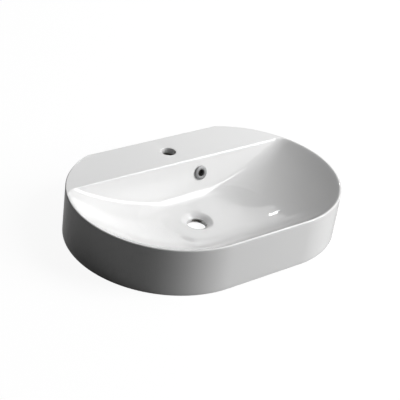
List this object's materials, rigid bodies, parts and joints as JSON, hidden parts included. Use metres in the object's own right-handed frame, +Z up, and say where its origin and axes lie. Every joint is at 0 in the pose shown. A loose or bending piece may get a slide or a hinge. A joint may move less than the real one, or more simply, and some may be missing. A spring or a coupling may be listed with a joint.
{
  "type": "countertop basin",
  "caption": "White glazed oval countertop basin with a thin rim, shallow dished bowl, flat tap deck, overflow with chrome ring and a bare waste hole.",
  "frame": {"origin": "on the counter, under the middle of the basin's overall length and depth", "axes": "+Z up, +X along the basin's length, +Y to the back, where the tap deck is"},
  "size_m": [0.67, 0.45, 0.113],
  "materials": {
    "glaze": "gloss white glaze",
    "gasket_rubber": "matt black",
    "sleeve_plastic": "moulded grey plastic",
    "ring_chrome": "polished chrome plate"
  },
  "bodies": {
    "root": {"basin_body": "glaze", "overflow_gasket": "gasket_rubber", "overflow_sleeve": "sleeve_plastic", "overflow_ring": "ring_chrome"}
  },
  "joints": []
}
